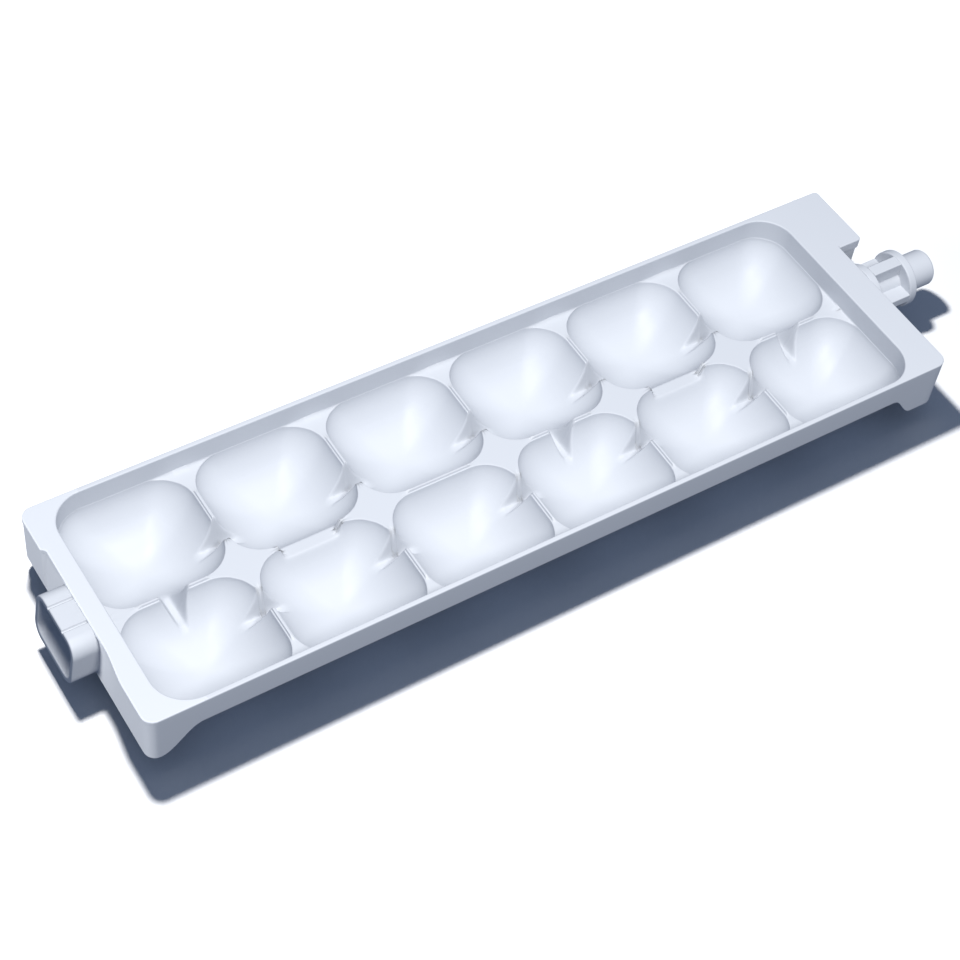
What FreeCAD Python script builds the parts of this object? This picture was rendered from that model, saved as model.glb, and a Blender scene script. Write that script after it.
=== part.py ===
"""Twist ice tray: two rows of six bowl cups in one white moulding, with a drive socket
at one end, a turned pivot at the other and a stop lug beside it.

Millimetres. X runs along the turning axis from the drive socket to the pivot pin, Y runs to
the rear, Z points up. The origin is on the turning axis, in the mouth of the drive socket.
The tray is cut into six bays at the cup dividers, because it is used by twisting: each bay
turns a little against the next one about the X axis.
"""

import os
import math

import FreeCAD
import Part
from FreeCAD import Vector

# Rim and cavity
RIM_WIDTH = 74.0
RIM_WALL = 1.5
RIM_DEPTH = 8.9
LAND_THICK = 1.6
LAND_DRIVE = 6.6
LAND_PIVOT = 10.0
CORNER_R = 3.5
CAVITY_R = 10.0

# Turning axis, from the front face and below the rim
AXIS_IN = 39.2
AXIS_DOWN = 8.8

# Cups
BAYS = 6
PITCH = 40.0
DIVIDER = 1.6
DECK_DOWN = 7.4
BOWL_DEPTH = 14.0
BOWL_WALL = 1.4
BOWL_LEVELS = (0.0, 0.24, 0.47, 0.68, 0.85, 0.95, 0.993)
BOWL_STEPS = 6
UNDER_LEVELS = (0.0, 0.3, 0.6, 0.84, 0.97, 0.995)
UNDER_STEPS = 4

# Water ways between the cups
NOTCH_TOP = 3.5
NOTCH_FLOOR = 1.3
NOTCH_DEEP = 10.5
NOTCH_FROM_FRONT = 24.35
SPINE_NOTCH_TOP = 4.0
SPINE_NOTCH_FLOOR = 1.1
TROUGH_WALL = 1.2
REACH = 10.0
WEIR_HALF = 8.5
WEIR_DEEP = 2.5
SPINE_KINDS = ("notch", "weir", "lip", "notch", "weir", "notch")

# Raised lips on the dividers
LIP_HALF = 0.5
LIP_HIGH = 0.6
LIP_LONG = 9.7
LIP_FROM_FRONT = 10.3

# End walls and corner legs
END_THICK = 1.6
LEG_RETURN = 6.0
LEG_FLAT_DRIVE = 3.6
LEG_CURVE_DRIVE = 11.6
LEG_FLAT_PIVOT = 9.4
LEG_CURVE_PIVOT = 8.2
RECESS = 1.2
RECESS_FRONT = 26.0
RECESS_RAMP = 13.0
RECESS_REAR = 59.0
RECESS_STEP = 1.5

# Drive socket
SOCKET_HALF_Y = 10.9
SOCKET_HALF_Z = 8.0
SOCKET_R = 4.5
SOCKET_WALL = 1.6
SOCKET_OUT = 6.6
SOCKET_LEAN = 0.95
GROOVE_AT = 4.1
GROOVE_WIDE = 0.8
GROOVE_DEEP = 0.6

# Pivot
DISC_R = 8.8
DISC_THICK = 2.5
HUB_R = 4.4
HUB_LONG = 10.3
RIB_THICK = 3.8
RIB_FLAT = 3.0
RIB_R = 8.6
COLLAR_THICK = 2.7
PIN_R = 5.6
PIN_LONG = 9.9
PIN_ROUND = 0.8

# Stop lug
LUG_OUT = 8.4
LUG_FROM_FRONT = 51.3
LUG_WALL = 1.8
LUG_PLATE = 3.6
LUG_INSET = 0.7
LUG_R = 1.2

# Places that follow from the dimensions
RIM_LENGTH = LAND_DRIVE + BAYS * PITCH - DIVIDER + LAND_PIVOT
END_DEPTH = AXIS_DOWN + SOCKET_HALF_Z
X_DRIVE = SOCKET_OUT
X_PIVOT = X_DRIVE + RIM_LENGTH
Y_FRONT = -AXIS_IN
Y_REAR = Y_FRONT + RIM_WIDTH
Y_SPINE = Y_FRONT + RIM_WIDTH / 2
Z_TOP = AXIS_DOWN
Z_DECK = Z_TOP - DECK_DOWN
Z_UNDER = Z_TOP - RIM_DEPTH
Z_LEG = Z_TOP - END_DEPTH
Z_CAP = Z_TOP - LAND_THICK
Z_LOW = Z_DECK - BOWL_DEPTH - BOWL_WALL - 5.0
CUP_X = (PITCH - DIVIDER) / 2
CUP_Y = (RIM_WIDTH / 2 - RIM_WALL - DIVIDER / 2) / 2
CAVITY_X0 = X_DRIVE + LAND_DRIVE
CAVITY_X1 = CAVITY_X0 + BAYS * PITCH - DIVIDER
CENTRES = [CAVITY_X0 + CUP_X + k * PITCH for k in range(BAYS)]
CUTS = [c + PITCH / 2 for c in CENTRES[:-1]]
X_CAP0 = CAVITY_X0 + CAVITY_R
X_CAP1 = CAVITY_X1 - CAVITY_R


def box(x0, x1, y0, y1, z0, z1):
    return Part.makeBox(x1 - x0, y1 - y0, z1 - z0, Vector(x0, y0, z0))


def prism(points, along):
    """A straight prism from a closed polygon."""
    pts = [Vector(*p) for p in points]
    return Part.Face(Part.makePolygon(pts + [pts[0]])).extrude(Vector(*along))


def rounded(cx, cy, hx, hy, r, z):
    """A rounded rectangle outline in a level plane."""
    edges = []
    corners = ((hx - r, hy - r, 0), (-hx + r, hy - r, 90), (-hx + r, -hy + r, 180), (hx - r, -hy + r, 270))
    for i, (dx, dy, start) in enumerate(corners):
        centre = Vector(cx + dx, cy + dy, z)
        edges.append(Part.makeCircle(r, centre, Vector(0, 0, 1), start, start + 90))
        nx, ny, begin = corners[(i + 1) % 4]
        a = math.radians(start + 90)
        b = math.radians(begin)
        p = centre + Vector(r * math.cos(a), r * math.sin(a), 0)
        q = Vector(cx + nx + r * math.cos(b), cy + ny + r * math.sin(b), z)
        edges.append(Part.makeLine(p, q))
    return Part.Wire(Part.__sortEdges__(edges))


def rounded_block(cx, cy, hx, hy, r, z0, z1):
    return Part.Face(rounded(cx, cy, hx, hy, r, z0)).extrude(Vector(0, 0, z1 - z0))


def mouth(hx, hy, r, steps):
    """Corners of a rounded rectangle, with each round corner in a few straight steps."""
    points = []
    for dx, dy, start in ((hx - r, hy - r, 0), (-hx + r, hy - r, 90), (-hx + r, -hy + r, 180), (hx - r, -hy + r, 270)):
        for i in range(steps + 1):
            a = math.radians(start + 90 * i / steps)
            points.append((dx + r * math.cos(a), dy + r * math.sin(a)))
    return points


def bowl(hx, hy, r, depth, levels, steps):
    """A bowl with a rounded square mouth, drawn in by an ellipse as it goes down in flat facets."""
    rings = []
    for level in levels:
        s = math.sqrt(1 - level * level)
        rings.append([Vector(x * s, y * s, -depth * level) for x, y in mouth(hx, hy, r, steps)])
    faces = [Part.Face(Part.makePolygon(ring + ring[:1])) for ring in (rings[0], rings[-1])]
    for upper, lower in zip(rings, rings[1:]):
        for i, p in enumerate(upper):
            q, u, v = upper[i - 1], lower[i - 1], lower[i]
            faces.append(Part.Face(Part.makePolygon([p, q, u, v, p])))
    return Part.Solid(Part.Shell(faces))


def moved(shape, x, y, z):
    copy = shape.copy()
    copy.translate(Vector(x, y, z))
    return copy


INNER_BOWL = bowl(CUP_X, CUP_Y, CAVITY_R, BOWL_DEPTH, BOWL_LEVELS, BOWL_STEPS)
OUTER_BOWL = bowl(CUP_X + BOWL_WALL, CUP_Y + BOWL_WALL, CAVITY_R + BOWL_WALL, BOWL_DEPTH + BOWL_WALL,
                  UNDER_LEVELS, UNDER_STEPS)


def channel(half_top, half_floor, deep, wall, across, start, length):
    """A V channel hanging from the deck; wall widens it into its trough. across is X or Y."""
    slope = (half_top - half_floor) / deep
    lift = 0.0 if wall else 3.0
    top = half_top + slope * lift + wall
    points = [(-top, Z_DECK + lift), (top, Z_DECK + lift),
              (half_floor + wall * 0.8, Z_DECK - deep - wall), (-half_floor - wall * 0.8, Z_DECK - deep - wall)]
    if across == "X":
        return lambda at: prism([(start, at + u, z) for u, z in points], (length, 0, 0))
    return lambda at: prism([(at + u, start, z) for u, z in points], (0, length, 0))


def cup(k, rear):
    """One cup with its square of deck, half of each divider, and its half of each water way."""
    cx = CENTRES[k]
    side = 1 if rear else -1
    cy = (Y_REAR - RIM_WALL - CUP_Y) if rear else (Y_FRONT + RIM_WALL + CUP_Y)
    x0 = CUTS[k - 1] if k else CAVITY_X0 - RIM_WALL
    x1 = CUTS[k] if k < BAYS - 1 else CAVITY_X1 + RIM_WALL
    y0, y1 = (Y_SPINE, Y_REAR - RIM_WALL) if rear else (Y_FRONT + RIM_WALL, Y_SPINE)
    low0, low1 = (Y_SPINE, Y_REAR) if rear else (Y_FRONT, Y_SPINE)
    body = box(x0, x1, y0, y1, Z_UNDER, Z_DECK)
    shell = moved(OUTER_BOWL, cx, cy, Z_DECK).common(box(x0, x1, low0, low1, Z_LOW, Z_UNDER))
    body = body.fuse(shell)
    notch_y = (Y_REAR - NOTCH_FROM_FRONT) if rear else (Y_FRONT + NOTCH_FROM_FRONT)
    lip_y = sorted(((Y_REAR - LIP_FROM_FRONT) if rear else (Y_FRONT + LIP_FROM_FRONT), notch_y + side * NOTCH_TOP))
    cuts = []
    lips = []
    for present, start, lip in ((k > 0, x0, x0), (k < BAYS - 1, x1 - REACH, x1 - LIP_HALF)):
        if not present:
            continue
        body = body.fuse(channel(NOTCH_TOP, NOTCH_FLOOR, NOTCH_DEEP, TROUGH_WALL, "X", start, REACH)(notch_y))
        cuts.append(channel(NOTCH_TOP, NOTCH_FLOOR, NOTCH_DEEP, 0.0, "X", start, REACH)(notch_y))
        lips.append(box(lip, lip + LIP_HALF, lip_y[0], lip_y[1], Z_DECK - 0.2, Z_DECK + LIP_HIGH))
    spine0 = Y_SPINE if rear else Y_SPINE - REACH
    lip0 = Y_SPINE if rear else Y_SPINE - LIP_HALF
    kind = SPINE_KINDS[k]
    if kind == "notch":
        body = body.fuse(channel(SPINE_NOTCH_TOP, SPINE_NOTCH_FLOOR, NOTCH_DEEP, TROUGH_WALL, "Y", spine0, REACH)(cx))
        cuts.append(channel(SPINE_NOTCH_TOP, SPINE_NOTCH_FLOOR, NOTCH_DEEP, 0.0, "Y", spine0, REACH)(cx))
        for a, b in ((-LIP_LONG, -SPINE_NOTCH_TOP), (SPINE_NOTCH_TOP, LIP_LONG)):
            lips.append(box(cx + a, cx + b, lip0, lip0 + LIP_HALF, Z_DECK - 0.2, Z_DECK + LIP_HIGH))
    elif kind == "weir":
        cuts.append(box(cx - WEIR_HALF, cx + WEIR_HALF, spine0, spine0 + REACH, Z_DECK - WEIR_DEEP, Z_DECK + 3))
    else:
        lips.append(box(cx - LIP_LONG, cx + LIP_LONG, lip0, lip0 + LIP_HALF, Z_DECK - 0.2, Z_DECK + LIP_HIGH))
    body = body.cut(moved(INNER_BOWL, cx, cy, Z_DECK))
    for tool in cuts:
        body = body.cut(tool)
    for lip in lips:
        body = body.fuse(lip)
    return body.removeSplitter()


def rail(k, rear):
    """The long side wall of one bay."""
    x0 = CUTS[k - 1] if k else X_CAP0
    x1 = CUTS[k] if k < BAYS - 1 else X_CAP1
    y0 = Y_REAR - RIM_WALL if rear else Y_FRONT
    return box(x0, x1, y0, y0 + RIM_WALL, Z_UNDER, Z_TOP)


def outer_block(z0, z1, inset=0.0):
    """The rim's outside, with rounded corners, but square where the stop lug carries it on."""
    block = rounded_block((X_DRIVE + X_PIVOT) / 2, (Y_FRONT + Y_REAR) / 2, RIM_LENGTH / 2 - inset,
                          RIM_WIDTH / 2 - inset, CORNER_R - inset, z0, z1)
    x, y = X_PIVOT - inset, Y_REAR - inset
    return block.fuse(box(x - CORNER_R, x, y - CORNER_R, y, z0, z1)).removeSplitter()


def cavity_block(z0, z1, out=0.0):
    """The cavity inside the rim, or that cavity grown outwards."""
    return rounded_block((CAVITY_X0 + CAVITY_X1) / 2, (Y_FRONT + Y_REAR) / 2, (CAVITY_X1 - CAVITY_X0) / 2 + out,
                         RIM_WIDTH / 2 - RIM_WALL + out, CAVITY_R + out, z0, z1)


def recess_profile(z):
    """Plan of what the drive end's rim edge is set back by, with a smooth ramp in front."""
    a = Vector(X_DRIVE - 5, Y_FRONT + RECESS_FRONT - RECESS_RAMP, z)
    b = Vector(X_DRIVE, Y_FRONT + RECESS_FRONT - RECESS_RAMP, z)
    c = Vector(X_DRIVE + RECESS, Y_FRONT + RECESS_FRONT, z)
    d = Vector(X_DRIVE + RECESS, Y_FRONT + RECESS_REAR, z)
    e = Vector(X_DRIVE, Y_FRONT + RECESS_REAR + RECESS_STEP, z)
    f = Vector(X_DRIVE - 5, Y_FRONT + RECESS_REAR + RECESS_STEP, z)
    ramp = Part.BezierCurve()
    ramp.setPoles([b, b + Vector(0, RECESS_RAMP / 2, 0), c - Vector(0, RECESS_RAMP / 2, 0), c])
    edges = [Part.makeLine(a, b), ramp.toShape(), Part.makeLine(c, d), Part.makeLine(d, e),
             Part.makeLine(e, f), Part.makeLine(f, a)]
    return Part.Wire(edges)


def land(drive):
    """The flat top at one end, with the cavity's end wall and its rounded corners."""
    x0, x1 = (X_DRIVE, X_CAP0) if drive else (X_CAP1, X_PIVOT)
    span = box(x0, x1, Y_FRONT, Y_REAR, Z_CAP, Z_TOP)
    plate = outer_block(Z_CAP, Z_TOP).common(span).cut(cavity_block(Z_CAP - 1, Z_TOP + 1))
    if drive:
        plate = plate.cut(Part.Face(recess_profile(Z_CAP - 1)).extrude(Vector(0, 0, LAND_THICK + 2)))
    inside = box(x0, x1, Y_FRONT + RIM_WALL, Y_REAR - RIM_WALL, Z_DECK, Z_CAP)
    wall = cavity_block(Z_DECK, Z_CAP, RIM_WALL).common(inside).cut(cavity_block(Z_DECK - 1, Z_CAP + 1))
    return plate.fuse(wall).removeSplitter()


def corner_leg(drive, rear):
    """A corner of the side wall, deeper than the rim and swept up to it."""
    ring = outer_block(Z_LEG, Z_CAP).cut(outer_block(Z_LEG - 1, Z_CAP + 1, RIM_WALL))
    x0, x1 = (X_DRIVE, X_CAP0) if drive else (X_CAP1, X_PIVOT)
    y0, y1 = (Y_REAR - LEG_RETURN, Y_REAR) if rear else (Y_FRONT, Y_FRONT + LEG_RETURN)
    leg = ring.common(box(x0, x1, y0, y1, Z_LEG, Z_CAP))
    flat = LEG_FLAT_DRIVE if drive else LEG_FLAT_PIVOT
    curve = LEG_CURVE_DRIVE if drive else LEG_CURVE_PIVOT
    out = 1 if drive else -1
    start = X_DRIVE + flat if drive else X_PIVOT - flat
    end = start + out * curve
    inner = x1 + 1 if drive else x0 - 1
    a, b = Vector(start, y0 - 1, Z_LEG), Vector(end, y0 - 1, Z_UNDER)
    sweep = Part.BezierCurve()
    sweep.setPoles([a, a + Vector(out * curve / 2, 0, 0), b - Vector(out * curve / 2, 0, 0), b])
    c, d = Vector(inner, y0 - 1, Z_UNDER), Vector(inner, y0 - 1, Z_LEG - 1)
    e = Vector(start, y0 - 1, Z_LEG - 1)
    outline = Part.Wire([sweep.toShape(), Part.makeLine(b, c), Part.makeLine(c, d), Part.makeLine(d, e),
                         Part.makeLine(e, a)])
    return leg.cut(Part.Face(outline).extrude(Vector(0, LEG_RETURN + 2, 0))).removeSplitter()


def end_wall(drive):
    """The deep outer wall at one end; the drive end leans in where its rim edge is set back."""
    y0, y1 = Y_FRONT + LEG_RETURN, Y_REAR - LEG_RETURN
    if not drive:
        return box(X_PIVOT - END_THICK, X_PIVOT, y0, y1, Z_LEG, Z_CAP)
    wall = box(X_DRIVE, X_DRIVE + END_THICK + RECESS, y0, y1, Z_LEG, Z_CAP)
    back = [(X_DRIVE + END_THICK, y0 - 1, Z_LEG - 0.01), (X_DRIVE + 9, y0 - 1, Z_LEG - 0.01),
            (X_DRIVE + 9, y0 - 1, Z_CAP), (X_DRIVE + END_THICK + RECESS, y0 - 1, Z_CAP)]
    wall = wall.cut(prism(back, (0, y1 - y0 + 2, 0)))
    upper = recess_profile(Z_CAP)
    lower = recess_profile(Z_LEG)
    lower.translate(Vector(-RECESS, 0, 0))
    return wall.cut(Part.makeLoft([lower, upper], True, True)).removeSplitter()


def socket_block(grow, x0, x1):
    """A block along X with the socket's rounded outline."""
    block = rounded_block(0, 0, SOCKET_HALF_Z + grow, SOCKET_HALF_Y + grow, SOCKET_R + grow, x0, x1)
    block.rotate(Vector(0, 0, 0), Vector(0, 1, 0), 90)
    return block


def drive_socket(wall, plate):
    """The open tube that the drive shaft enters, up against the end wall and the land."""
    back = X_DRIVE + END_THICK + RECESS
    tube = socket_block(0.0, -SOCKET_LEAN - 1, back).cut(socket_block(-SOCKET_WALL, -SOCKET_LEAN - 2, back + 1))
    for side in (-1, 1):
        y = side * GROOVE_AT
        tube = tube.cut(box(-5, back + 1, y - GROOVE_WIDE / 2, y + GROOVE_WIDE / 2,
                            SOCKET_HALF_Z - GROOVE_DEEP, SOCKET_HALF_Z + 1))
    mouth = prism([(-20, -30, -30), (-SOCKET_LEAN * 30 / SOCKET_HALF_Z, -30, -30),
                   (SOCKET_LEAN * 30 / SOCKET_HALF_Z, -30, 30), (-20, -30, 30)], (0, 60, 0))
    tube = tube.cut(mouth).cut(wall).cut(plate)
    face = box(X_DRIVE - 3, back + 5, -30, 30, -30, 30)
    outside = tube.cut(face)
    seat = tube.common(face)
    keep = [s for s in seat.Solids if s.BoundBox.XMin < X_DRIVE - 2.9]
    for piece in keep:
        outside = outside.fuse(piece)
    return outside.removeSplitter()


def pivot_hub():
    """The ribbed shaft between the two discs."""
    x0 = X_PIVOT + DISC_THICK
    hub = Part.makeCylinder(HUB_R, HUB_LONG, Vector(x0, 0, 0), Vector(1, 0, 0))
    hub = hub.fuse(box(x0, x0 + HUB_LONG, -RIB_THICK / 2, RIB_THICK / 2, -RIB_R, RIB_R))
    return hub.fuse(box(x0, x0 + HUB_LONG, -RIB_R, RIB_R, -RIB_FLAT / 2, RIB_FLAT / 2)).removeSplitter()


def pivot_pin(x0):
    pin = Part.makeCylinder(PIN_R, PIN_LONG, Vector(x0, 0, 0), Vector(1, 0, 0))
    tip = [e for e in pin.Edges if abs(e.BoundBox.XMin - x0 - PIN_LONG) < 0.01 and e.BoundBox.XLength < 0.01]
    return pin.makeChamfer(PIN_ROUND, tip)


def stop_lug():
    """A hollow block open at the bottom, under a top plate that overhangs it a little."""
    x0, x1 = X_PIVOT, X_PIVOT + LUG_OUT
    y0, y1 = Y_FRONT + LUG_FROM_FRONT, Y_REAR
    plate = box(x0, x1, y0, y1, Z_TOP - LUG_PLATE, Z_TOP)
    plate = plate.makeFillet(LUG_R, [e for e in plate.Edges if e.BoundBox.XMin > x1 - 0.01 and e.BoundBox.ZLength > 1])
    skirt = box(x0, x1 - LUG_INSET, y0 + LUG_INSET, y1, Z_LEG, Z_TOP - LUG_PLATE)
    lug = plate.fuse(skirt)
    hollow = box(x0 - 1, x1 - LUG_INSET - LUG_WALL, y0 + LUG_INSET + LUG_WALL, y1 - LUG_WALL,
                 Z_LEG - 1, Z_TOP - LUG_WALL)
    return lug.cut(hollow).removeSplitter()


def build():
    parts = {}
    for k in range(BAYS):
        for row, rear in (("front", False), ("rear", True)):
            parts["cup_%s_%d" % (row, k + 1)] = cup(k, rear)
            parts["rim_%s_%d" % (row, k + 1)] = rail(k, rear)
    for end, drive in (("drive", True), ("pivot", False)):
        parts["land_" + end] = land(drive)
        parts["end_wall_" + end] = end_wall(drive)
        for row, rear in (("front", False), ("rear", True)):
            parts["corner_%s_%s" % (end, row)] = corner_leg(drive, rear)
            last = 1 if drive else BAYS
            name = "cup_%s_%d" % (row, last)
            parts[name] = parts[name].cut(parts["corner_%s_%s" % (end, row)])
    parts["drive_socket"] = drive_socket(parts["end_wall_drive"], parts["land_drive"])
    parts["pivot_disc"] = Part.makeCylinder(DISC_R, DISC_THICK, Vector(X_PIVOT, 0, 0), Vector(1, 0, 0))
    parts["pivot_hub"] = pivot_hub()
    x = X_PIVOT + DISC_THICK + HUB_LONG
    parts["pivot_collar"] = Part.makeCylinder(DISC_R, COLLAR_THICK, Vector(x, 0, 0), Vector(1, 0, 0))
    parts["pivot_pin"] = pivot_pin(x + COLLAR_THICK)
    parts["stop_lug"] = stop_lug()
    return parts


def main():
    os.makedirs("parts", exist_ok=True)
    for name, shape in build().items():
        shape.exportStep("parts/%s.step" % name)
        print(name, len(shape.Solids), shape.isValid(), round(shape.Volume, 1))


main()
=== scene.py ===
"""Twist ice tray: the looks of the moulded tray, built around the fixed frame.

The moulding is made as five spans of basin, each from one pair of cups to the next, with
the rails beside them, the two ends, the drive socket, the pivot and the stop lug. Lengths in
the settings are metres; the shaping below works in millimetres in the frame's own axes and
sets the points in metres at the end.
"""

import math

import bmesh
import bpy
import numpy as np
from mathutils import Matrix, Vector


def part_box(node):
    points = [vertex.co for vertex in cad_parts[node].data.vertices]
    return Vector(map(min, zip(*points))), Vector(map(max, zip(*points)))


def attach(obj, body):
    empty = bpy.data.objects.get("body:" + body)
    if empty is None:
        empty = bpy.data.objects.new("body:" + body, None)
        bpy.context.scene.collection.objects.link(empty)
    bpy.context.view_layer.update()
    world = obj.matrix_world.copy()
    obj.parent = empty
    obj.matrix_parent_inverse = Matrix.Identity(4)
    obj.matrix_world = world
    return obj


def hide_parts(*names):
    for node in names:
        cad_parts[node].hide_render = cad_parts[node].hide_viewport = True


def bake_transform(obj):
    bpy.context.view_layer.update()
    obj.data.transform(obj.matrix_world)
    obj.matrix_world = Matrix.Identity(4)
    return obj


bl_info = {
    "name": "Twist ice tray",
    "version": (1, 0, 0),
    "blender": (4, 5, 0),
    "location": "3D View > Sidebar > Ice Tray",
    "description": "Builds a twelve-cup twist ice tray with its drive socket, pivot and stop lug",
    "category": "Object",
}

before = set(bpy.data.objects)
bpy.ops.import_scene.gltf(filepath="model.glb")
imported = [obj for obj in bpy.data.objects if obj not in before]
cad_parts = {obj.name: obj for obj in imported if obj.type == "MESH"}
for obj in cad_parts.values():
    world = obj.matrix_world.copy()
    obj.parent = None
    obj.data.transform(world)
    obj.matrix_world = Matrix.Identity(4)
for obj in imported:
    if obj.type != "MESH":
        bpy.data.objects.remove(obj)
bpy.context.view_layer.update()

MM = 0.001
BAYS = 6
SPINE_KINDS = ("notch", "weir", "lip", "notch", "weir", "notch")
OUTER_LINES = 8

# The small forms of the moulding, in millimetres.
LEDGE = 0.15  # flat strip between a cup's mouth and the wall beside it
WATER_WALL = 1.2  # plastic under the water ways
SEAM_RISE, SEAM_WIDTH = 0.05, 0.35  # faint ridge across a V notch where two cups meet
NOTCH_SOFT, WEIR_SOFT, UNDER_SOFT = 1.4, 1.0, 1.0  # roundings where the water ways cut the bowls
WEIR_END, WEIR_SLOPE = 0.3, 5.0  # rounding and steepness at the ends of a weir
LIP_SIDE = 0.16  # width of a lip's sloping side
BAY_LIP_START, BAY_LIP_END = (-8.75, -8.35), (3.0, 5.0)  # a lip between bays, from the cup's centre
SPINE_LIP_END = (9.5, 9.9)
OUTER_CORNER = 3.5  # radius of the rim's corners seen from above
SQUARE_CORNER = 0.02
RECESS_START, RECESS_END = (13.0, 26.0), (59.0, 60.5)  # the drive end's recess, from the rim's front
DRIVE_LEG, PIVOT_LEG = (3.6, 11.6), (9.4, 8.2)  # a corner leg's flat foot and its sweep up to the rim
UNDERCUT = 0.25
LUG_EDGE = 0.004  # the lug's top runs flush into the pivot end
SOCKET_CORNER, SOCKET_EDGE = 4.5, 0.35
GROOVE_AT, GROOVE_FOOT, GROOVE_TOP, GROOVE_SHOULDER = 4.1, 0.36, 0.42, 0.55
HUB_CORE, FIN_HALF, FIN_EDGE = 4.4, (1.9, 1.5), 0.35
DISC_EDGE, COLLAR_EDGE = 0.35, 0.45
PIN_TIP = ((0.9, 0.0), (0.55, 0.12), (0.22, 0.38), (0.05, 0.75), (0.0, 1.1))  # back, inwards
LUG_PLATE, LUG_OVERHANG, LUG_WALL, LUG_CORNER = 3.6, 0.7, 1.8, 1.2

FLOOR_GAP = 0.02
TRAY_MIDDLE = (140, -2, 0)
CAMERA_PLACE = (-0.1025, -0.2882, 0.4496)
CAMERA_LOOK, CAMERA_LEVEL = (0.39098, 0.48801, -0.78037), (0.7804, -0.6253, 0.0)
CAMERA_ROLL, CAMERA_LENS = 8.525, 79.2


# ---------------------------------------------------------------- settings


def length(name, description, default, low=0.0):
    return bpy.props.FloatProperty(name=name, description=description, default=default, min=low,
                                   precision=5, subtype="DISTANCE", unit="LENGTH")


def colour(name, description, default):
    return bpy.props.FloatVectorProperty(name=name, description=description, default=default,
                                         subtype="COLOR", size=3, min=0.0, max=1.0)


def amount(name, description, default, subtype="NONE"):
    return bpy.props.FloatProperty(name=name, description=description, default=default, min=0.0,
                                   subtype=subtype)


class IceTraySizes(bpy.types.PropertyGroup):
    """Sizes of the moulding."""

    pitch: length("Cup pitch", "From one pair of cups to the next", 0.040, 0.02)
    divider: length("Divider", "Width of the wall between two cups at the deck", 0.0016, 0.0008)
    mouth_radius: length("Mouth radius", "Radius of a cup's corners seen from above", 0.010, 0.002)
    bowl_depth: length("Bowl depth", "From the deck to a cup's lowest point", 0.014, 0.005)
    bowl_swell: bpy.props.FloatProperty(
        name="Bowl swell", default=0.68, min=0.4, max=1.2,
        description="0.5 gives a bowl with upright walls, 1 a bowl with slanting ones")
    wall: length("Wall", "Thickness of the cups and of the deck", 0.0014, 0.0006)
    rail_wall: length("Rail wall", "Thickness of the long side walls", 0.0015, 0.0006)
    mouth_edge: length("Mouth edge", "Rounding where a cup meets the deck", 0.0003)
    rim_edge: length("Rim edge", "Rounding along the top of the rim", 0.0004)
    cove: length("Cove", "Hollow where the deck meets the side walls", 0.0006)
    notch_from_front: length("Notch place", "From the rim's outside to the middle of a V notch", 0.02435)
    notch_half: length("Notch half width", "Half the width of a V notch at the deck", 0.0035)
    notch_floor: length("Notch floor", "Half the width of a V notch at its floor", 0.0013)
    notch_deep: length("Notch depth", "From the deck to the floor of a V notch", 0.0088)
    spine_half: length("Spine notch half width", "Half the width of a notch in the spine", 0.004)
    spine_floor: length("Spine notch floor", "Half the width at the floor of a notch in the spine", 0.0011)
    weir_half: length("Weir half width", "Half the length of a lowered stretch of the spine", 0.0085)
    weir_deep: length("Weir depth", "How far a lowered stretch of the spine lies below the deck", 0.0038)
    lip_high: length("Lip height", "How far a lip stands above the deck", 0.0006)
    lip_half: length("Lip half width", "Half the width of a lip on a divider", 0.00042)
    recess: length("Drive end recess", "How far the drive end's edge is set back in the middle", 0.0012)
    socket_wall: length("Socket wall", "Thickness of the drive socket", 0.0016, 0.0006)
    groove: length("Socket groove", "Depth of the two grooves on top of the socket", 0.0006)


class IceTrayLooks(bpy.types.PropertyGroup):
    """Colours and light."""

    plastic: colour("Plastic", "Colour of the white moulding", (0.80, 0.825, 0.868))
    plastic_deep: colour("Plastic, cooler", "Second colour, which clouds through the first",
                         (0.785, 0.815, 0.862))
    floor: colour("Floor", "Colour of the plain floor", (0.96, 0.96, 0.965))
    sky: colour("Fill light", "Colour of the soft light from all round", (0.50, 0.66, 1.0))
    sky_strength: amount("Fill strength", "Strength of the soft light from all round", 0.185)
    floor_glow: amount("Floor glow", "Light of the far floor, which keeps the ground white there", 0.80)
    key_power: amount("Key power", "Power of the lamp that casts the tray's shadow", 3.6, "POWER")
    key_size: length("Key size", "Width of the lamp that casts the tray's shadow", 0.05)
    soft_power: amount("Soft lamp power", "Power of the broad lamp over the tray", 2.4, "POWER")
    front_power: amount("Front lamp power", "Power of the broad lamp in front", 3.5, "POWER")
    wall_power: amount("Wall lamp power", "Power of the low lamp at the drive end", 4.0, "POWER")
    soft_size: length("Soft lamp size", "Width of the broad lamps round the tray", 0.25)


# ---------------------------------------------------------------- places


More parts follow.
